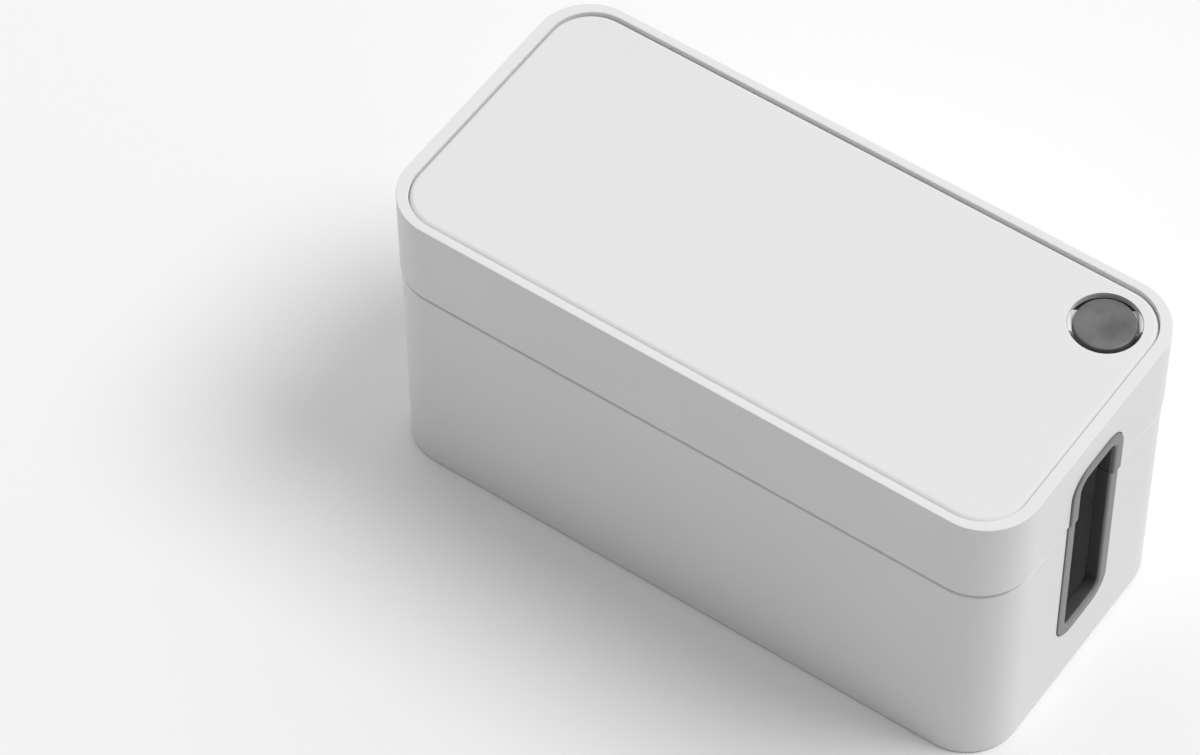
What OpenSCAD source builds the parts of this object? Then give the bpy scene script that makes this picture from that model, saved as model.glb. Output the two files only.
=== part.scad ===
// Cable management box: tub, lift-off lid with a non-slip inlay, lined cable
// outlets in both ends and a round capped outlet in one corner of the lid.
// Millimetres, +Z up, origin on the floor under the middle of the box.

/* [Box] */
// length of the lid
box_l = 246; // [180:1:340]
// width of the lid
box_w = 116; // [96:1:170]
// height of the box on its feet
box_h = 128; // [110:1:180]
// corner radius of the lid, seen from above
corner_r = 20; // [18:0.5:26]
// height of the lid, from its lower edge to its top
lid_h = 35.8; // [34:0.2:68]
// wall thickness of the tub
wall_t = 2.4; // [2:0.1:3]
// floor thickness of the tub
floor_t = 2.6; // [2.2:0.1:4]
// radius along the tub's lower edge
foot_edge_r = 0.5; // [0.4:0.1:2]
// radius along the tub's upper edge
tub_edge_r = 0.4; // [0.3:0.1:1.2]

/* [Lid] */
// wall thickness of the lid's skirt
lid_wall_t = 2.8; // [2.6:0.1:3.2]
// thickness of the lid's top plate
plate_t = 2.4; // [1.8:0.1:3.5]
// width of the raised rim along the long sides
rim_w = 3.2; // [2.8:0.1:5]
// width of the raised rim across the ends
rim_end_w = 4.3; // [2.8:0.1:6]
// how far the rim stands above the inlay
rim_h = 0.6; // [0.4:0.1:1.5]
// thickness of the inlay
mat_t = 2.6; // [2.4:0.1:3.2]
// radius along the inlay's upper edge
mat_edge_r = 1.7; // [1:0.1:2.2]
// open joint between lid and tub
seam_gap = 2; // [0.8:0.1:2.2]
// radius along the lid's edges
lid_edge_r = 0.3; // [0.2:0.1:0.6]

/* [End outlets] */
// clear width of the opening
port_w = 21.2; // [14:0.2:36]
// height of the opening's lower edge
port_low_z = 28.4; // [18:0.2:50]
// depth of the opening's upper edge below the top
port_drop = 17.6; // [17:0.2:26]
// width of the liner's outer band
band_w = 4.5; // [3.6:0.1:6]
// corner radius of the opening
port_r = 4.5; // [2:0.5:6]
// how far the tub's liners stand out
low_proud = 0.5; // [0.3:0.1:1]
// how far the lid's liners stand out
up_proud = 0.8; // [0.3:0.1:1]

/* [Lid outlet] */
// clear diameter of the round outlet
hole_d = 25; // [24:0.5:28]
// how far the outlet's centre lies inside the corner arc's centre, in X and in Y
outlet_in = 0.6; // [0:0.1:2]
// diameter of the cap
cap_d = 21; // [16:0.5:23]
// width of the bridge under the cap
bridge_w = 10; // [9:0.5:12]
// direction of the bridge, from the box's length
bridge_a = 33; // [0:1:90]
// how far the bridge lies off the outlet's middle, so that one gap takes a plug
bridge_off = 2.1; // [0:0.1:2.5]
// diameter of the cap's stem
stem_d = 6; // [4:0.5:6.5]

/* [Feet] */
// diameter of a foot
foot_d = 12; // [8:0.5:16]
// how far the feet stand out
foot_h = 0.4; // [0.4:0.1:1.5]
// depth of the foot's pocket
foot_sink = 1.2; // [0.8:0.1:1.4]

/* [Hidden] */
$fn = 96;

// clearances
shell_in = 0.5;     // tub set back behind the lid's face
tongue_gap = 0.3;   // tongue to skirt
mat_gap = 0.7;      // inlay to rim along the sides
mat_end_gap = 0.25; // inlay to rim across the ends
band_gap = 0.4;     // liner band to its recess
slot_gap = 0.1;     // liner to slot
meet_gap = 0.3;     // upper liner to lower liner
pocket_gap = 0.05;  // foot to pocket
stem_gap = 0.05;    // stem to bore
sleeve_gap = 0.05;  // sleeve to collar

// the corner arcs' centres are shared by every ring
hx = box_l / 2 - corner_r;
hy = box_w / 2 - corner_r;

// the recess, the inlay and the lid outlet have centres a little further in
recess_in = rim_end_w - rim_w;
recess_x = hx - recess_in;
mat_x = recess_x + mat_gap - mat_end_gap;
outlet_x = recess_x - outlet_in;
outlet_y = hy - outlet_in;

// distances out from the corner centres
lid_in_r = corner_r - lid_wall_t;
tub_r = corner_r - shell_in;
tub_in_r = tub_r - wall_t;
rim_in_r = corner_r - rim_w;
mat_r = rim_in_r - mat_gap;
skin_t = 1.3;
skin_in_r = corner_r - skin_t;
tongue_r = skin_in_r - tongue_gap;
lid_in_fillet = 2;

// heights
seam_z = box_h - lid_h;
tub_top_z = seam_z - seam_gap;
tongue_h = 3.4;
tongue_top_z = seam_z + tongue_h;
mat_top_z = box_h - rim_h;
plate_top_z = mat_top_z - mat_t;
plate_low_z = plate_top_z - plate_t;
floor_top_z = foot_h + floor_t;

// end outlets
port_top_z = box_h - port_drop;
port_hw = port_w / 2;
liner_t = 1.5;
slot_hw = port_hw + liner_t + slot_gap;
slot_r = port_r + liner_t + slot_gap;
band_hw = port_hw + band_w;
band_r = port_r + band_w;
band_sink = 1;
lip_w = 1.5;
lip_t = 1.2;
liner_in = 5;
gate_hw = band_hw + 0.9;
gate_gap = 0.5;

// lid outlet
hole_r = hole_d / 2;
sleeve_t = 1;
sleeve_r = hole_r + sleeve_t;
bore_r = sleeve_r + sleeve_gap;
collar_t = 1.5;
collar_h = 6;
collar_low_z = plate_low_z - collar_h;
hook_w = 1;
hook_h = 1.2;
saddle_r = 1.85;
saddle_top_z = mat_top_z - 0.2;
bridge_top_z = mat_top_z - 2.5;
bridge_h = 5;
bridge_gap = 0.15;
hub_r = 5;
hub_drop = 5;
hub_low_z = bridge_top_z - bridge_h - hub_drop;
cap_top_z = mat_top_z - 0.2;
cap_edge_r = 0.6;
dish_d = 0.8 * cap_d;
dish_h = 0.25;
dish_r = (dish_d * dish_d / 4 + dish_h * dish_h) / (2 * dish_h);
stem_r = stem_d / 2;
stem_end = 1;

// feet
foot_x = hx - 2;
foot_y = hy - 2;

// colours
white = [0.93, 0.93, 0.92];
pale = [0.91, 0.91, 0.90];
grey = [0.42, 0.42, 0.43];
rubber = [0.2, 0.2, 0.21];

// a profile carried round the box: x is the distance from the corner centres
module sweep(centre_x = hx) {
    for (k = [0:3]) {
        a = (k % 2 == 0) ? centre_x : hy;
        b = (k % 2 == 0) ? hy : centre_x;
        rotate([0, 0, 90 * k])
            translate([a, b, 0]) {
                rotate_extrude(angle = 90)
                    children();
                rotate([90, 0, 0])
                    linear_extrude(2 * b)
                        children();
            }
    }
}

// the flat middle that a swept profile leaves open
module middle(z0, z1, centre_x = hx) {
    translate([-centre_x, -hy, z0])
        cube([2 * centre_x, 2 * hy, z1 - z0]);
}

// what a radius r takes off the corner of a profile at the origin
module corner_off(r) {
    difference() {
        translate([-r, -r])
            square([r + 1, r + 1]);
        translate([-r, -r])
            circle(r);
        translate([-r - 1, -r - 1])
            square([1, r + 2]);
        translate([-r - 1, -r - 1])
            square([r + 2, 1]);
    }
}

// the fillet of radius r that fills an inner corner at the origin
module corner_on(r) {
    difference() {
        square([r, r]);
        translate([r, r])
            circle(r);
    }
}

// an outlet's outline with rounded lower corners
module u_shape(hw, z0, z1, r) {
    translate([-hw, z0 + r])
        square([2 * hw, z1 - z0 - r]);
    translate([-hw + r, z0])
        square([2 * (hw - r), r]);
    for (s = [-1, 1])
        translate([s * (hw - r), z0 + r])
            circle(r);
}

// the same outline turned over, with rounded upper corners
module n_shape(hw, z0, z1, r) {
    translate([0, z0 + z1])
        mirror([0, 1])
            u_shape(hw, z0, z1, r);
}

// an outline in the Y-Z plane made solid between two X positions
module along_x(x0, x1) {
    translate([x0, 0, 0])
        rotate([90, 0, 90])
            linear_extrude(x1 - x0)
                children();
}

module tub_profile() {
    difference() {
        translate([0, foot_h])
            square([tub_r, tub_top_z - foot_h]);
        translate([-1, floor_top_z])
            square([tub_in_r + 1, box_h]);
        translate([tub_r, foot_h])
            mirror([0, 1])
                corner_off(foot_edge_r);
        translate([tub_r, tub_top_z])
            corner_off(tub_edge_r);
    }
    translate([tub_in_r, floor_top_z])
        mirror([1, 0])
            corner_on(lid_in_fillet);
    translate([tub_in_r, tub_top_z - 1])
        square([tongue_r - tub_in_r, tongue_top_z - tub_top_z + 1]);
}

module base_solid() {
    difference() {
        union() {
            sweep()
                tub_profile();
            middle(foot_h, floor_top_z);
        }
        // end slots, the band's recess and the gap in the tongue
        for (s = [0, 180])
            rotate([0, 0, s]) {
                along_x(hx, box_l / 2 + 1)
                    u_shape(slot_hw, port_low_z - liner_t - slot_gap, box_h, slot_r);
                along_x(hx + tub_r - band_sink, box_l / 2 + 1)
                    u_shape(band_hw + band_gap, port_low_z - band_w - band_gap,
                        box_h, band_r + band_gap);
                translate([hx, -gate_hw - gate_gap, tub_top_z])
                    cube([corner_r + 1, 2 * (gate_hw + gate_gap), box_h]);
            }
        // foot pockets
        for (x = [-foot_x, foot_x])
            for (y = [-foot_y, foot_y])
                translate([x, y, 0])
                    cylinder(r = foot_d / 2 + pocket_gap, h = foot_h + foot_sink);
    }
}

module base_shell() {
    color(white)
        base_solid();
}

// a liner of the tub's end slot: band, tunnel and inner lip
module low_liner() {
    face_x = hx + tub_r;
    top_z = seam_z - meet_gap;
    difference() {
        union() {
            along_x(face_x - band_sink, face_x + low_proud)
                u_shape(band_hw, port_low_z - band_w, top_z, band_r);
            along_x(face_x - liner_in, face_x)
                u_shape(port_hw + liner_t, port_low_z - liner_t, top_z, port_r + liner_t);
            along_x(hx + tub_in_r - lip_t, hx + tub_in_r)
                u_shape(port_hw + liner_t + lip_w, port_low_z - liner_t - lip_w,
                    tub_top_z, port_r + liner_t + lip_w);
        }
        along_x(hx, box_l / 2 + 2)
            u_shape(port_hw, port_low_z, box_h, port_r);
    }
}

module trim_low_right() {
    color(grey)
        low_liner();
}

module trim_low_left() {
    color(grey)
        rotate([0, 0, 180])
            low_liner();
}

module foot(x, y) {
    color(rubber)
        translate([x, y, 0])
            cylinder(d = foot_d, h = foot_h + foot_sink);
}

module foot_1() {
    foot(foot_x, -foot_y);
}

module foot_2() {
    foot(foot_x, foot_y);
}

module foot_3() {
    foot(-foot_x, foot_y);
}

module foot_4() {
    foot(-foot_x, -foot_y);
}

module lid_profile() {
    difference() {
        translate([0, seam_z])
            square([corner_r, box_h - seam_z]);
        translate([-1, seam_z - 1])
            square([lid_in_r + 1, plate_low_z - seam_z + 1]);
        translate([corner_r, box_h])
            corner_off(lid_edge_r);
        translate([corner_r, seam_z])
            mirror([0, 1])
                corner_off(lid_edge_r);
    }
    translate([lid_in_r, plate_low_z])
        rotate([0, 0, 180])
            corner_on(lid_in_fillet);
}

// the recess inside the rim
module recess() {
    sweep(recess_x) {
        translate([0, plate_top_z])
            square([rim_in_r, box_h]);
        translate([rim_in_r, box_h])
            mirror([1, 0])
                corner_off(lid_edge_r);
    }
    middle(plate_top_z, box_h + 1, recess_x);
}

// the rebate inside the skirt that drops over the tub's tongue
module rebate() {
    difference() {
        sweep()
            translate([lid_in_r - 1, seam_z - 1])
                square([skin_in_r - lid_in_r + 1, tongue_h + 1]);
        for (s = [0, 180])
            rotate([0, 0, s])
                translate([hx, -gate_hw, 0])
                    cube([corner_r, 2 * gate_hw, box_h]);
    }
}

// the bridge across the round outlet: a bar, a rounded saddle where it meets
// each side of the hole, and the hub that takes the cap's stem
module bridge() {
    translate([0, bridge_off, 0]) {
        translate([-bore_r - 0.05, -bridge_w / 2, bridge_top_z - bridge_h])
            cube([2 * bore_r + 0.1, bridge_w, bridge_h]);
        for (s = [-1, 1])
            translate([s * (bore_r + hole_r) / 2, 0, plate_top_z - plate_t / 2])
                cube([bore_r - hole_r + 0.3, bridge_w, plate_t], center = true);
    }
    intersection() {
        translate([0, 0, bridge_top_z - bridge_h])
            cylinder(r = hole_r - bridge_gap, h = bridge_h + mat_t);
        for (s = [-1, 1])
            translate([s * hole_r, bridge_off + bridge_w / 2, bridge_top_z - saddle_r])
                rotate([90, 0, 0])
                    linear_extrude(bridge_w) {
                        translate([0, saddle_top_z - bridge_top_z])
                            circle(saddle_r);
                        translate([-saddle_r, 0])
                            square([2 * saddle_r, saddle_top_z - bridge_top_z]);
                    }
    }
    translate([0, 0, hub_low_z])
        cylinder(r = hub_r, h = bridge_top_z - hub_low_z);
}

module lid_solid() {
    difference() {
        union() {
            difference() {
                union() {
                    sweep()
                        lid_profile();
                    middle(plate_low_z, box_h);
                    translate([outlet_x, outlet_y, collar_low_z])
                        cylinder(r = bore_r + collar_t, h = plate_low_z - collar_low_z + 1);
                }
                recess();
                rebate();
                translate([outlet_x, outlet_y, 0])
                    cylinder(r = bore_r, h = plate_top_z + 1);
                for (s = [0, 180])
                    rotate([0, 0, s]) {
                        along_x(hx, box_l / 2 + 1)
                            n_shape(slot_hw, 0, port_top_z + liner_t + slot_gap, slot_r);
                        along_x(box_l / 2 - band_sink, box_l / 2 + 1)
                            n_shape(band_hw + band_gap, 0,
                                port_top_z + band_w + band_gap, band_r + band_gap);
                    }
            }
            translate([outlet_x, outlet_y, 0])
                rotate([0, 0, bridge_a])
                    bridge();
        }
        translate([outlet_x, outlet_y, hub_low_z - 1])
            cylinder(r = stem_r + stem_gap, h = box_h);
    }
}

module lid_shell() {
    color(white)
        lid_solid();
}

module mat_profile() {
    difference() {
        translate([0, plate_top_z])
            square([mat_r, mat_t]);
        translate([mat_r, mat_top_z])
            corner_off(mat_edge_r);
    }
}

module lid_mat() {
    color(pale)
        difference() {
            union() {
                sweep(mat_x)
                    mat_profile();
                middle(plate_top_z, mat_top_z, mat_x);
            }
            translate([outlet_x, outlet_y, plate_top_z - 1])
                cylinder(r = hole_r, h = mat_t + 2);
        }
}

// a liner of the lid's end notch
module up_liner() {
    face_x = box_l / 2;
    difference() {
        union() {
            along_x(face_x - band_sink, face_x + up_proud)
                n_shape(band_hw, seam_z, port_top_z + band_w, band_r);
            along_x(face_x - liner_in, face_x)
                n_shape(port_hw + liner_t, seam_z, port_top_z + liner_t, port_r + liner_t);
            along_x(hx + lid_in_r - lip_t, hx + lid_in_r)
                n_shape(port_hw + liner_t + lip_w, seam_z,
                    port_top_z + liner_t + lip_w, port_r + liner_t + lip_w);
        }
        along_x(hx, face_x + 2)
            n_shape(port_hw, 0, port_top_z, port_r);
    }
}

module trim_up_right() {
    color(grey)
        up_liner();
}

module trim_up_left() {
    color(grey)
        rotate([0, 0, 180])
            up_liner();
}

module outlet_sleeve() {
    low_z = collar_low_z - hook_h;
    color(grey)
        translate([outlet_x, outlet_y, 0])
            difference() {
                union() {
                    translate([0, 0, low_z])
                        cylinder(r = sleeve_r, h = plate_top_z - low_z);
                    translate([0, 0, low_z])
                        cylinder(r = sleeve_r + hook_w, h = hook_h);
                }
                translate([0, 0, low_z - 1])
                    cylinder(r = hole_r, h = box_h);
                rotate([0, 0, bridge_a])
                    translate([-2 * hole_r, bridge_off - bridge_w / 2 - bridge_gap,
                        bridge_top_z - bridge_h - bridge_gap])
                        cube([4 * hole_r, bridge_w + 2 * bridge_gap, box_h]);
            }
}

module outlet_cap() {
    color(grey)
        translate([outlet_x, outlet_y, 0]) {
            difference() {
                rotate_extrude()
                    difference() {
                        translate([0, bridge_top_z])
                            square([cap_d / 2, cap_top_z - bridge_top_z]);
                        translate([cap_d / 2, cap_top_z])
                            corner_off(cap_edge_r);
                    }
                translate([0, 0, cap_top_z - dish_h + dish_r])
                    sphere(r = dish_r);
            }
            translate([0, 0, hub_low_z + stem_end])
                cylinder(r = stem_r, h = bridge_top_z - hub_low_z - stem_end + 0.5);
        }
}

base_shell();
trim_low_right();
trim_low_left();
foot_1();
foot_2();
foot_3();
foot_4();
lid_shell();
lid_mat();
trim_up_right();
trim_up_left();
outlet_sleeve();
outlet_cap();
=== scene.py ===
# %% [markdown]
# # A cable management box
#
# The real object is a white box that hides a power strip. A lid drops over the
# tub, a thin non-slip sheet lies inside the lid's raised rim, grey soft liners
# finish the cable outlet in each end, and a round grey cap closes a smaller
# outlet in one corner of the lid.
#
# The shells, the sheet, the sleeve and the cap come finished from the packed
# solids and only need their materials. The liners and the feet are made here,
# because their rounded edges are what the eye picks up.

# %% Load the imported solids
import math

import bmesh
import bpy
from mathutils import Matrix, Vector


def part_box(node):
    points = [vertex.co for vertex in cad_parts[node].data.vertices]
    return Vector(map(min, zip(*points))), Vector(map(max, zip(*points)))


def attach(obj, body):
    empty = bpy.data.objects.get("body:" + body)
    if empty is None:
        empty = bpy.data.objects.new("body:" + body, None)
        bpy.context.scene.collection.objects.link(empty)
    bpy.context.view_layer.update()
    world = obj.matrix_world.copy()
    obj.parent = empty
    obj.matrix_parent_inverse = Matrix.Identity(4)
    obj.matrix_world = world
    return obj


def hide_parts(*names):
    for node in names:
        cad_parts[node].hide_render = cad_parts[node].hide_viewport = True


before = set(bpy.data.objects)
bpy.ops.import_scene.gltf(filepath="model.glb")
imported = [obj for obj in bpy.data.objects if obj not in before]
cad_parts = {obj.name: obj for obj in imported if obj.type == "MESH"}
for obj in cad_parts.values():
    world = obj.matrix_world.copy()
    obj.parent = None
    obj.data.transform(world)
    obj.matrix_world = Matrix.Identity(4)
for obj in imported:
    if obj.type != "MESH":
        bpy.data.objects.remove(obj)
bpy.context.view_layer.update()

MM = 0.001

print("solids:", sorted(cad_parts))

# %% [markdown]
# ## Three helpers
#
# Colours are written as sRGB hex values, the way a colour picker gives them.
# Shaders work in linear light, so one function converts them. Node trees are
# long when every link is written out, so one function adds a node, gives it
# its settings, and either links or sets each of its inputs. The third opens a
# material and leaves its tree empty.

# %% Colour, node and material helpers
def linear(hex_colour):
    """Linear RGBA of an sRGB hex colour, by the standard's own curve."""
    parts = [int(hex_colour[i:i + 2], 16) / 255 for i in (1, 3, 5)]
    bend = lambda c: c / 12.92 if c <= 0.04045 else ((c + 0.055) / 1.055) ** 2.4
    return (*map(bend, parts), 1)


def put(tree, kind, inputs=None, **settings):
    """Add a node. An input that is given a socket is linked to it."""
    node = tree.nodes.new(kind)
    for name, value in settings.items():
        setattr(node, name, value)
    for name, value in (inputs or {}).items():
        if isinstance(value, bpy.types.NodeSocket):
            tree.links.new(value, node.inputs[name])
        else:
            node.inputs[name].default_value = value
    return node


def new_material(name):
    """A material with an empty tree: returns the material and the tree."""
    material = bpy.data.materials.new(name)
    material.use_nodes = True
    material.node_tree.nodes.clear()
    return material, material.node_tree


print("white #ECECEC is", [round(c, 3) for c in linear("#ECECEC")])

# %% [markdown]
# ## White moulded ABS
#
# Both shells are injection-moulded ABS with a fine spark-eroded texture. The
# texture breaks up the gloss, so the plastic looks satin, and the walls show a
# very slow waviness where the melt shrank. One flat white would look like
# paper. Three noises, each with a real size in millimetres, give the grit, the
# waves and the marks of handling. They read Object coordinates, so they stay
# on the plastic from every side and while the lid moves.

# %% Shell material
MIX_A, MIX_B, MIX_OUT = 6, 7, 2  # the colour sockets of a Mix node


def moulded_abs():
    material, tree = new_material("white_moulded_abs")
    place = put(tree, "ShaderNodeTexCoord").outputs["Object"]
    # spark-erosion grit is about 0.1 mm, too fine to show, so it is drawn at 0.7 mm
    grit = put(tree, "ShaderNodeTexNoise", {
        "Vector": place, "Scale": 1 / (0.7 * MM), "Detail": 2, "Roughness": 0.6})
    # shrinkage waves, about 45 mm from crest to crest
    wave = put(tree, "ShaderNodeTexNoise", {
        "Vector": place, "Scale": 1 / (45 * MM), "Detail": 1})
    # handling marks, about 14 mm across, that change the gloss alone
    touch = put(tree, "ShaderNodeTexNoise", {
        "Vector": place, "Scale": 1 / (14 * MM), "Detail": 3, "Distortion": 0.6})
    rough = put(tree, "ShaderNodeMapRange", {
        "Value": touch.outputs["Fac"], "From Min": 0.3, "From Max": 0.7,
        "To Min": 0.43, "To Max": 0.53})
    tone = put(tree, "ShaderNodeMix", {
        "Factor": wave.outputs["Fac"],
        MIX_A: linear("#EAEAEA"), MIX_B: linear("#EEEEEE")}, data_type="RGBA")
    slow = put(tree, "ShaderNodeBump", {
        "Height": wave.outputs["Fac"], "Strength": 0.5, "Distance": 0.4 * MM})
    fine = put(tree, "ShaderNodeBump", {
        "Height": grit.outputs["Fac"], "Normal": slow.outputs[0],
        "Strength": 0.5, "Distance": 0.03 * MM})
    shader = put(tree, "ShaderNodeBsdfPrincipled", {
        "Base Color": tone.outputs[MIX_OUT], "Roughness": rough.outputs[0],
        "Normal": fine.outputs[0], "IOR": 1.5})
    put(tree, "ShaderNodeOutputMaterial", {"Surface": shader.outputs[0]})
    return material


abs_white = moulded_abs()
print(abs_white.name, "has", len(abs_white.node_tree.nodes), "nodes")

# %% [markdown]
# ## The non-slip sheet
#
# The lid's inlay is a sheet of silicone-like elastomer. It is duller than the
# plastic and has a close leather-like grain, so what is laid on it stays put.
# The grain could be displaced geometry, but it is far too fine for that, so a
# Voronoi pattern drives the bump, and a slow cloud varies tone and gloss.

# %% Inlay material
def elastomer_sheet():
    material, tree = new_material("non_slip_elastomer_sheet")
    place = put(tree, "ShaderNodeTexCoord").outputs["Object"]
    # the grain's cells are about 0.25 mm and are drawn at 0.9 mm to show at all
    grain = put(tree, "ShaderNodeTexVoronoi", {
        "Vector": place, "Scale": 1 / (0.9 * MM)}, feature="SMOOTH_F1")
    # clouds about 60 mm across
    cloud = put(tree, "ShaderNodeTexNoise", {
        "Vector": place, "Scale": 1 / (60 * MM), "Detail": 2})
    tone = put(tree, "ShaderNodeMix", {
        "Factor": cloud.outputs["Fac"],
        MIX_A: linear("#E9E9E9"), MIX_B: linear("#ECECEC")}, data_type="RGBA")
    rough = put(tree, "ShaderNodeMapRange", {
        "Value": cloud.outputs["Fac"], "To Min": 0.58, "To Max": 0.68})
    relief = put(tree, "ShaderNodeBump", {
        "Height": grain.outputs["Distance"], "Strength": 0.35, "Distance": 0.04 * MM})
    shader = put(tree, "ShaderNodeBsdfPrincipled", {
        "Base Color": tone.outputs[MIX_OUT], "Roughness": rough.outputs[0],
        "Normal": relief.outputs[0], "IOR": 1.43})
    put(tree, "ShaderNodeOutputMaterial", {"Surface": shader.outputs[0]})
    return material


sheet_white = elastomer_sheet()
print(sheet_white.name, "has", len(sheet_white.node_tree.nodes), "nodes")

# %% [markdown]
# ## Grey liners, cap and feet
#
# The liners are a soft thermoplastic rubber, the cap is satin ABS and the feet
# are plain rubber. All three are grey with slow clouds of tone and gloss, as
# handled rubber has, so one function makes them. On the cap the two tones are swapped so that
# a lighter cloud lies over its left part. That cloud is partly a change of tone and partly a
# painted reflection.
#
# A liner's flange is a pale grey. Behind the flange a dark grey is painted on as painted
# shade. It darkens the tunnel through the wall, and the sleeve of the lid's round outlet too,
# so that the openings read as deep shadow inside a pale frame. Two materials on one mesh
# could do that, but the border would follow the mesh's edges. Here the colour changes by the
# distance from the middle of the box, so the painted shade starts just behind the flange's
# rounded edge.

# %% Liner, cap and foot materials
# painted shade: a liner is painted dark grey nearer the middle than the first distance, and
# has its own grey from the second distance on
PAINTED_SHADE_ENDS = 121.7 * MM    # along X, from the middle of the box
FLANGE_TONE_FROM = 122.2 * MM


def soft_rubber(name, low_tone, high_tone, smooth, dull, grit_mm, painted_shade_tone=None):
    """The first tone lies where the cloud noise is low, the second where it is high. A
    painted shade tone, if one is given, is painted over all of the mesh that lies nearer the
    middle of the box along X.
    """
    material, tree = new_material(name)
    place = put(tree, "ShaderNodeTexCoord").outputs["Object"]
    grit = put(tree, "ShaderNodeTexNoise", {
        "Vector": place, "Scale": 1 / (grit_mm * MM), "Detail": 2})
    # clouds about 9 mm across
    cloud = put(tree, "ShaderNodeTexNoise", {
        "Vector": place, "Scale": 1 / (9 * MM), "Detail": 2})
    patch = put(tree, "ShaderNodeMapRange", {
        "Value": cloud.outputs["Fac"], "From Min": 0.35, "From Max": 0.65})
    tone = put(tree, "ShaderNodeMix", {
        "Factor": patch.outputs[0],
        MIX_A: linear(low_tone), MIX_B: linear(high_tone)}, data_type="RGBA")
    # painted shade: the dark tone is painted on all of the mesh that lies nearer the middle
    # of the box along X
    if painted_shade_tone:
        along = put(tree, "ShaderNodeSeparateXYZ", {"Vector": place}).outputs["X"]
        away = put(tree, "ShaderNodeMath", {0: along}, operation="ABSOLUTE")
        outside = put(tree, "ShaderNodeMapRange", {
            "Value": away.outputs[0], "From Min": PAINTED_SHADE_ENDS, "From Max": FLANGE_TONE_FROM})
        tone = put(tree, "ShaderNodeMix", {
            "Factor": outside.outputs[0],
            MIX_A: linear(painted_shade_tone), MIX_B: tone.outputs[MIX_OUT]}, data_type="RGBA")
    rough = put(tree, "ShaderNodeMapRange", {
        "Value": cloud.outputs["Fac"], "From Min": 0.3, "From Max": 0.7,
        "To Min": smooth, "To Max": dull})
    relief = put(tree, "ShaderNodeBump", {
        "Height": grit.outputs["Fac"], "Strength": 0.4, "Distance": 0.03 * MM})
    shader = put(tree, "ShaderNodeBsdfPrincipled", {
        "Base Color": tone.outputs[MIX_OUT], "Roughness": rough.outputs[0],
        "Normal": relief.outputs[0], "IOR": 1.5})
    put(tree, "ShaderNodeOutputMaterial", {"Surface": shader.outputs[0]})
    return material


# the liners' #444445 is painted shade, for their tunnels and for the round outlet's sleeve
liner_grey = soft_rubber(
    "soft_tpe_liner", "#7B7B7C", "#838384", 0.38, 0.48, grit_mm=0.6, painted_shade_tone="#444445")
# the cap's tones run from light to dark, so that a lighter cloud lies over its left part:
# partly a change of tone and partly a painted reflection
cap_grey = soft_rubber("satin_abs_cap", "#727273", "#5A5A5B", 0.35, 0.5, grit_mm=0.5)
foot_dark = soft_rubber("foot_rubber", "#2C2C2D", "#363637", 0.6, 0.75, grit_mm=0.6)
print("greys:", liner_grey.name, cap_grey.name, foot_dark.name)

# %% [markdown]
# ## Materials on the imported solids
#
# On the real box each moulding has one finish all over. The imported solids
# already have the right shape, so their meshes are left alone and only the
# material slot changes. A table of names is easier to check than thirteen
# separate lines.

# %% Finish of each solid
TUB_LINERS = ("trim_low_right", "trim_low_left")
LID_LINERS = ("trim_up_right", "trim_up_left")
FEET = ("foot_1", "foot_2", "foot_3", "foot_4")
finishes = {
    abs_white: ("base_shell", "lid_shell"),
    sheet_white: ("lid_mat",),
    # the outlet sleeve lies wholly nearer the middle than the point where the liners' painted
    # shade ends, so all of it is painted shade
    liner_grey: ("outlet_sleeve", *TUB_LINERS, *LID_LINERS),
    cap_grey: ("outlet_cap",),
    foot_dark: FEET,
}
for material, names in finishes.items():
    for name in names:
        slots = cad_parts[name].data.materials
        slots.clear()
        slots.append(material)
print("finished solids:", sum(map(len, finishes.values())))

# %% [markdown]
# ## End liners
#
# Each liner is one soft moulding. Its section is a flange outside, a tunnel
# through the wall and a small lip that snaps behind the wall. It could be cut
# from a block and bevelled, but the flange, the tunnel and the lip need
# different radii. So the section is drawn once as a curve whose points carry
# their own radius, and a node tree rounds it and sweeps it round the outlet:
# the legs come down, turn in two rounded corners and go up again. The lid's
# liner is the same sweep turned over, and a half turn about the middle of the
# box makes the second end.

# %% Section of a liner
FLANGE_W = 4.5 * MM   # from the opening to the flange's outer edge
FLANGE_IN = 1.0 * MM  # depth of the flange's recess in the shell
TUNNEL_T = 1.5 * MM   # thickness of the tunnel's wall
LIP_W = 1.5 * MM      # how far the lip stands out from the tunnel
LIP_T = 1.2 * MM      # thickness of the lip
MOUTH_R = 0.9 * MM    # the flange's soft edge round the opening
EDGE_R = 0.3 * MM     # outer edges of the flange and the lip
TUNNEL_R = 0.4 * MM   # inner end of the tunnel


def liner_section(name, proud, wall):
    """The section as a curve: distance out from the opening, place along X, radius."""
    low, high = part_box(name)
    inner, face = low.x, high.x
    shell = face - proud
    seat, back = shell - FLANGE_IN, shell - wall
    corners = (
        (0, inner, TUNNEL_R), (TUNNEL_T, inner, TUNNEL_R), (TUNNEL_T, back - LIP_T, 0),
        (TUNNEL_T + LIP_W, back - LIP_T, EDGE_R), (TUNNEL_T + LIP_W, back, EDGE_R),
        (TUNNEL_T, back, 0), (TUNNEL_T, seat, 0), (FLANGE_W, seat, 0),
        (FLANGE_W, face, EDGE_R), (0, face, MOUTH_R))
    curve = bpy.data.curves.new(name + "_section", "CURVE")
    spline = curve.splines.new("POLY")
    spline.points.add(len(corners) - 1)
    spline.use_cyclic_u = True
    for point, (out, along, radius) in zip(spline.points, corners):
        point.co = (out, along, 0, 1)
        point.radius = radius
    return curve


print("liner flange:", FLANGE_W / MM, "mm wide, lip", LIP_T / MM, "mm thick")

# %% Tree that sweeps a liner round its outlet
CORNER_STEPS, EDGE_STEPS = 14, 6


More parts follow.
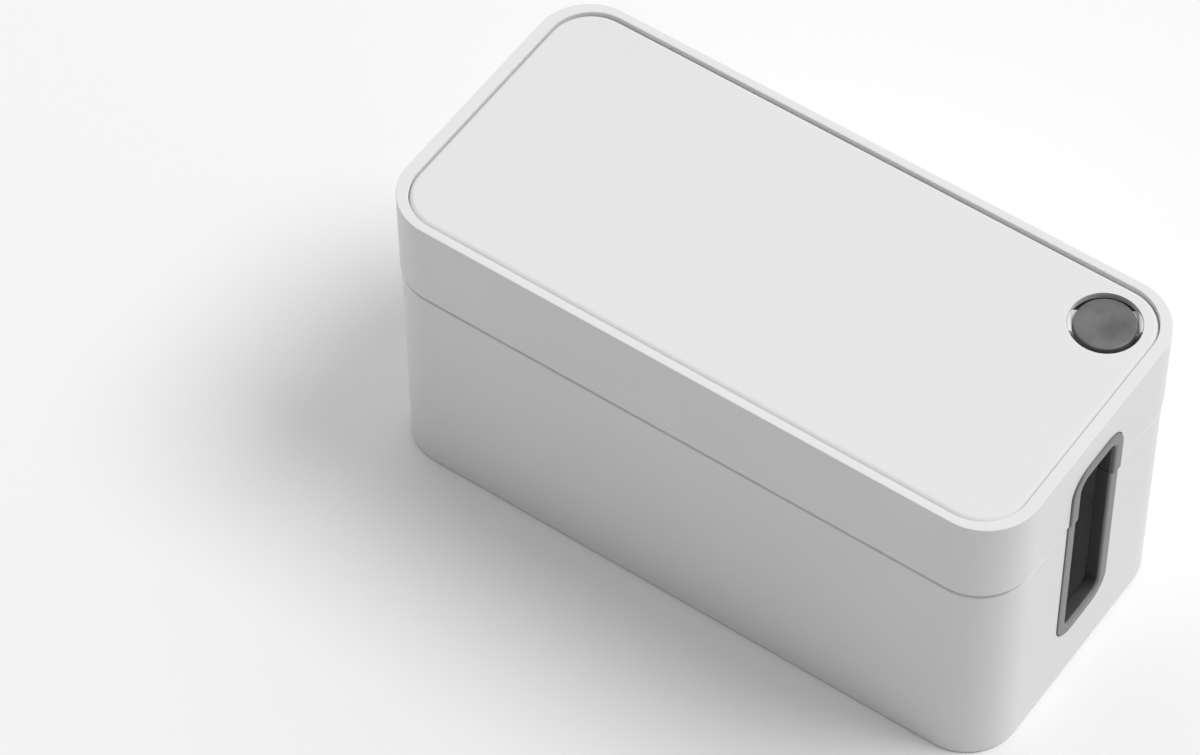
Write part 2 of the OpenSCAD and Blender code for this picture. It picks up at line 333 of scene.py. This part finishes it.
def new_tree(name, result, **inputs):
    """A geometry tree with named inputs: returns the tree and its input sockets."""
    tree = bpy.data.node_groups.new(name, "GeometryNodeTree")
    for label, kind in inputs.items():
        tree.interface.new_socket(label, in_out="INPUT", socket_type="NodeSocket" + kind)
    tree.interface.new_socket(result, in_out="OUTPUT", socket_type="NodeSocketGeometry")
    return tree, put(tree, "NodeGroupInput").outputs


def close_tree(tree, given, geometry, result):
    """Real geometry with the given material, because the export drops instances."""
    plain = put(tree, "GeometryNodeRealizeInstances", {"Geometry": geometry.outputs[0]})
    done = put(tree, "GeometryNodeSetMaterial", {
        "Geometry": plain.outputs[0], "Material": given["Material"]})
    put(tree, "NodeGroupOutput", {result: done.outputs[0]})
    return tree


def liner_tree():
    tree, given = new_tree(
        "outlet_liner", "Liner", Section="Geometry", Half_Width="Float", Leg="Float",
        Corner_Radius="Float", Open_End="Float", Turn="Float", Material="Material")
    right = given["Half_Width"]
    left, down = [
        put(tree, "ShaderNodeMath", {0: given[label], 1: -1}, operation="MULTIPLY").outputs[0]
        for label in ("Half_Width", "Leg")]
    # down the left leg, across and up the right leg
    spots = [put(tree, "ShaderNodeCombineXYZ", place).outputs[0] for place in (
        {"X": left}, {"X": left, "Y": down}, {"X": right, "Y": down}, {"X": right})]
    path = put(tree, "GeometryNodeCurvePrimitiveQuadrilateral", {
        f"Point {i + 1}": spot for i, spot in enumerate(spots)}, mode="POINTS")
    path = put(tree, "GeometryNodeSetSplineCyclic", {
        "Geometry": path.outputs[0], "Cyclic": False})
    path = put(tree, "GeometryNodeFilletCurve", {
        "Curve": path.outputs[0], "Radius": given["Corner_Radius"],
        "Count": CORNER_STEPS}, mode="POLY")
    section = put(tree, "GeometryNodeFilletCurve", {
        "Curve": given["Section"],
        "Radius": put(tree, "GeometryNodeInputRadius").outputs[0],
        "Count": EDGE_STEPS}, mode="POLY")
    # the radii have done their work, and the sweep must not scale by them
    section = put(tree, "GeometryNodeSetCurveRadius", {
        "Curve": section.outputs[0], "Radius": 1})
    sweep = put(tree, "GeometryNodeCurveToMesh", {
        "Curve": path.outputs[0], "Profile Curve": section.outputs[0], "Fill Caps": True})
    # the turn about X stands the sweep up, and the one about Z faces it along X
    turn = put(tree, "ShaderNodeCombineXYZ", {"X": given["Turn"], "Z": given["Turn"]})
    height = put(tree, "ShaderNodeCombineXYZ", {"Z": given["Open_End"]})
    near = put(tree, "GeometryNodeTransform", {
        "Geometry": sweep.outputs[0], "Rotation": turn.outputs[0],
        "Translation": height.outputs[0]})
    far = put(tree, "GeometryNodeTransform", {
        "Geometry": near.outputs[0], "Rotation": (0, 0, math.pi)})
    pair = put(tree, "GeometryNodeJoinGeometry")
    for end in (near, far):
        tree.links.new(end.outputs[0], pair.inputs[0])
    return close_tree(tree, given, pair, "Liner")


liners = liner_tree()
print(liners.name, "has", len(liners.nodes), "nodes")

# %% Liners of the tub and of the lid
CORNER_R = 4.5 * MM  # corners of the opening
SHARP_FROM = math.radians(35)


def run_tree(name, tree, source, values):
    """Run a tree on a curve or mesh and keep the result as a plain mesh object."""
    holder = bpy.data.objects.new(name + "_source", source)
    bpy.context.scene.collection.objects.link(holder)
    modifier = holder.modifiers.new("make", "NODES")
    modifier.node_group = tree
    for item in tree.interface.items_tree:
        if item.in_out == "INPUT" and item.name in values:
            modifier[item.identifier] = values[item.name]
    shape = holder.evaluated_get(bpy.context.evaluated_depsgraph_get())
    mesh = bpy.data.meshes.new_from_object(shape)
    bpy.data.objects.remove(holder)
    mesh.name = name
    mesh.shade_smooth()
    mesh.set_sharp_from_angle(angle=SHARP_FROM)
    piece = bpy.data.objects.new(name, mesh)
    bpy.context.scene.collection.objects.link(piece)
    print(name, "has", len(mesh.polygons), "faces")
    return piece


def make_liners(name, node, proud, wall, turned_over):
    """Both ends' liners, measured on the solid of one end."""
    low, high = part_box(node)
    open_end = low.z if turned_over else high.z
    quarter = math.pi / 2
    return run_tree(name, liners, liner_section(node, proud, wall), {
        "Half_Width": high.y - FLANGE_W, "Leg": high.z - low.z - FLANGE_W,
        "Corner_Radius": CORNER_R, "Open_End": open_end,
        "Turn": -quarter if turned_over else quarter, "Material": liner_grey})


tub_liners = make_liners(
    "end_liners_tub", TUB_LINERS[0], proud=0.5 * MM, wall=2.4 * MM, turned_over=False)
lid_liners = make_liners(
    "end_liners_lid", LID_LINERS[0], proud=0.8 * MM, wall=2.8 * MM, turned_over=True)

# %% [markdown]
# ## Feet
#
# A foot is a small moulded rubber disc with a rounded rim. Its sole is dished
# in the middle and has one shallow ring, which holds better than a flat one.
# A cylinder with a bevel would miss the ring, so the outline is written as
# radius and height and turned once round the axis. The feet are all alike, so
# a node tree sets the one disc at the four corners of a grid.

# %% One foot, turned
FOOT_STEPS, RIM_STEPS = 64, 6
RIM_R = 0.3 * MM
RING_DEPTH = 0.15 * MM


def turned(name, outline, steps):
    """A closed mesh made by turning (radius, height) points round the Z axis."""
    bm = bmesh.new()
    rows = []
    for radius, height in outline:
        if radius == 0:
            rows.append([bm.verts.new((0, 0, height))] * steps)
            continue
        angles = [math.tau * i / steps for i in range(steps)]
        rows.append([bm.verts.new((radius * math.cos(a), radius * math.sin(a), height))
                     for a in angles])
    for row, after in zip(rows, rows[1:]):
        for i in range(steps):
            j = (i + 1) % steps
            # at the axis two corners are the same point
            bm.faces.new(list(dict.fromkeys((row[i], row[j], after[j], after[i]))))
    bmesh.ops.recalc_face_normals(bm, faces=bm.faces)
    mesh = bpy.data.meshes.new(name)
    bm.to_mesh(mesh)
    bm.free()
    return mesh


def foot_outline(radius, height):
    """Sole first, from the axis out, then up the side and back over the top."""
    # shares of the radius, and how deep the sole is pressed in there
    sole = [(share * radius, deep) for share, deep in (
        (0, RING_DEPTH), (0.42, RING_DEPTH), (0.45, 0), (0.6, 0),
        (0.63, RING_DEPTH), (0.72, RING_DEPTH), (0.75, 0))]
    angles = [math.pi / 2 * i / RIM_STEPS for i in range(RIM_STEPS + 1)]
    rim = [(radius - RIM_R + RIM_R * math.sin(a), RIM_R - RIM_R * math.cos(a))
           for a in angles]
    return sole + rim + [(radius, height), (0, height)]


foot_low, foot_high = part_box("foot_2")  # the foot at +X, +Y
foot_middle = (foot_low + foot_high) / 2
one_foot = turned(
    "foot", foot_outline((foot_high.x - foot_low.x) / 2, foot_high.z), FOOT_STEPS)
print("one foot has", len(one_foot.polygons), "faces")

# %% The foot, set four times
def feet_tree():
    tree, given = new_tree(
        "four_feet", "Feet", Foot="Geometry", Apart_X="Float", Apart_Y="Float",
        Material="Material")
    grid = put(tree, "GeometryNodeMeshGrid", {
        "Size X": given["Apart_X"], "Size Y": given["Apart_Y"],
        "Vertices X": 2, "Vertices Y": 2})
    set_down = put(tree, "GeometryNodeInstanceOnPoints", {
        "Points": grid.outputs[0], "Instance": given["Foot"]})
    return close_tree(tree, given, set_down, "Feet")


feet = run_tree("feet", feet_tree(), one_foot, {
    "Apart_X": 2 * foot_middle.x, "Apart_Y": 2 * foot_middle.y, "Material": foot_dark})

# %% [markdown]
# ## Give the made pieces their bodies
#
# The liners of the lid have to rise with the lid, and those of the tub and the
# feet stay with the tub. So each piece is parented to an empty for its body,
# and the plain solids that these pieces stand for are hidden.

# %% Bodies and replaced solids
for piece, body, slot, nodes in (
        (tub_liners, "tub", "liner_grey", TUB_LINERS),
        (lid_liners, "lid", "liner_grey", LID_LINERS),
        (feet, "tub", "foot_rubber", FEET)):
    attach(piece, body)
    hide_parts(*nodes)
    print(piece.name, "rides on", body, "for", len(nodes), "solids")

# %% [markdown]
# ## White table
#
# The photograph has a white table that is nearly as bright as paper. A floor
# that is so white would also throw much light up at the box and wash out its
# lower edge. Light Path parts the two: the camera, gloss and glass see an
# almost white floor, and the light that bounces off it is a little greyer.

# %% Table
TABLE_SIDE = 40  # metres, so its edge is never in view
TABLE_SEEN, TABLE_BOUNCE = 0.985, 0.8


def seen_ray(tree):
    """1 where a ray comes from the camera, gloss or glass, and 0 for bounced light."""
    path = put(tree, "ShaderNodeLightPath")
    seen = path.outputs["Is Camera Ray"]
    for kind in ("Is Glossy Ray", "Is Transmission Ray"):
        seen = put(tree, "ShaderNodeMath", {
            0: seen, 1: path.outputs[kind]}, operation="MAXIMUM").outputs[0]
    return seen


def white_table():
    material, tree = new_material("white_ground")
    grey = lambda level: (level, level, level, 1)
    tone = put(tree, "ShaderNodeMix", {
        "Factor": seen_ray(tree), MIX_A: grey(TABLE_BOUNCE), MIX_B: grey(TABLE_SEEN)},
        data_type="RGBA")
    shader = put(tree, "ShaderNodeBsdfPrincipled", {
        "Base Color": tone.outputs[MIX_OUT], "Roughness": 1, "Specular IOR Level": 0})
    put(tree, "ShaderNodeOutputMaterial", {"Surface": shader.outputs[0]})
    return material


bpy.ops.mesh.primitive_plane_add(size=TABLE_SIDE)
ground = bpy.context.object
ground.name = "ground"
ground.data.materials.append(white_table())
print(ground.name, "is", TABLE_SIDE, "m wide")

# %% [markdown]
# ## Pale room
#
# Pale walls all round fill the shadows with soft light. An even sky would make
# the box's long side too bright, because in the photograph the room is darker
# on the camera's side. So the sky's strength leans: it is highest towards one
# side and lowest on the opposite side. What the camera and gloss see is one
# even, nearly white strength.

# %% Room
ROOM_LEVEL = 0.56  # strength straight above
ROOM_LEAN = 0.76   # share that is added or taken away at the horizon
ROOM_TURN = math.radians(105)  # from +X, where the room is brightest
ROOM_SEEN = 0.95

world = bpy.data.worlds.new("pale_room")
bpy.context.scene.world = world
world.use_nodes = True
tree = world.node_tree
tree.nodes.clear()
lean = put(tree, "ShaderNodeVectorMath", {
    0: put(tree, "ShaderNodeTexCoord").outputs["Generated"],
    1: (ROOM_LEAN * math.cos(ROOM_TURN), ROOM_LEAN * math.sin(ROOM_TURN), 0)},
    operation="DOT_PRODUCT")
room = put(tree, "ShaderNodeMath", {
    0: lean.outputs["Value"], 1: ROOM_LEVEL, 2: ROOM_LEVEL}, operation="MULTIPLY_ADD")
level = put(tree, "ShaderNodeMapRange", {
    "Value": seen_ray(tree), "To Min": room.outputs[0], "To Max": ROOM_SEEN})
sky = put(tree, "ShaderNodeBackground", {
    "Color": (1, 1, 1, 1), "Strength": level.outputs[0]})
put(tree, "ShaderNodeOutputWorld", {"Surface": sky.outputs[0]})
print("room:", round(ROOM_LEVEL * (1 - ROOM_LEAN), 2), "to",
      round(ROOM_LEVEL * (1 + ROOM_LEAN), 2), "at the horizon")

# %% [markdown]
# ## Lamp
#
# The shadow falls to the front left and its edge is very soft, so the real
# light is one big softbox behind the right end. A sun lamp would light as
# evenly, but an area lamp's size in metres is easier to picture. It stands far
# away, so that the left of the table is lit almost as well as the right.

# %% Key lamp
LAMP_TURN = math.radians(36)  # from +X towards +Y
LAMP_RISE = math.radians(59)  # above the table
LAMP_AWAY = 16    # metres
LAMP_SIZE = 8.2   # metres across
LAMP_LEVEL = 0.41  # how bright it alone makes a white table
LAMP_AIM = 0.06   # metres above the table, the middle of the box

toward = Vector((math.cos(LAMP_RISE) * math.cos(LAMP_TURN),
                 math.cos(LAMP_RISE) * math.sin(LAMP_TURN), math.sin(LAMP_RISE)))
lamp = bpy.data.lights.new("key", "AREA")
lamp.shape = "DISK"
lamp.size = LAMP_SIZE
# a disk of power P lights a facing surface at distance d by P / (pi d^2), and a
# white surface turns light of strength pi into a brightness of 1
lamp.energy = LAMP_LEVEL / math.sin(LAMP_RISE) * math.pi * math.pi * LAMP_AWAY ** 2
key = bpy.data.objects.new("key", lamp)
bpy.context.scene.collection.objects.link(key)
key.location = toward * LAMP_AWAY + Vector((0, 0, LAMP_AIM))
key.rotation_euler = toward.to_track_quat("Z", "Y").to_euler()
print("key lamp:", round(lamp.energy, 2), "W")

# %% [markdown]
# ## Camera
#
# The camera could be placed by eye, but then it would be a little off. Its
# place, direction and lens come from a fit to the edges of the box in the
# photograph. The fit gives the way ahead and the way to the right, and the
# third axis follows from these two.

# %% Camera
CAMERA_AT = Vector((0.5661, -0.8907, 1.4518))
CAMERA_AHEAD = Vector((-0.3526, 0.4914, -0.7964))
CAMERA_RIGHT = Vector((0.8188, 0.5741, -0.0082))
LENS_MM, SENSOR_MM = 155.6, 36

lens = bpy.data.cameras.new("camera")
lens.sensor_width = SENSOR_MM
lens.lens = LENS_MM
camera = bpy.data.objects.new("camera", lens)
bpy.context.scene.collection.objects.link(camera)
ahead = CAMERA_AHEAD.normalized()
right = (CAMERA_RIGHT - ahead * CAMERA_RIGHT.dot(ahead)).normalized()
camera.matrix_world = Matrix.Translation(CAMERA_AT) @ Matrix(
    (right, right.cross(ahead), -ahead)).transposed().to_4x4()
bpy.context.scene.camera = camera
bpy.context.scene.view_settings.view_transform = "Standard"
print("camera:", round(CAMERA_AT.length, 3), "m from the middle of the box's floor")
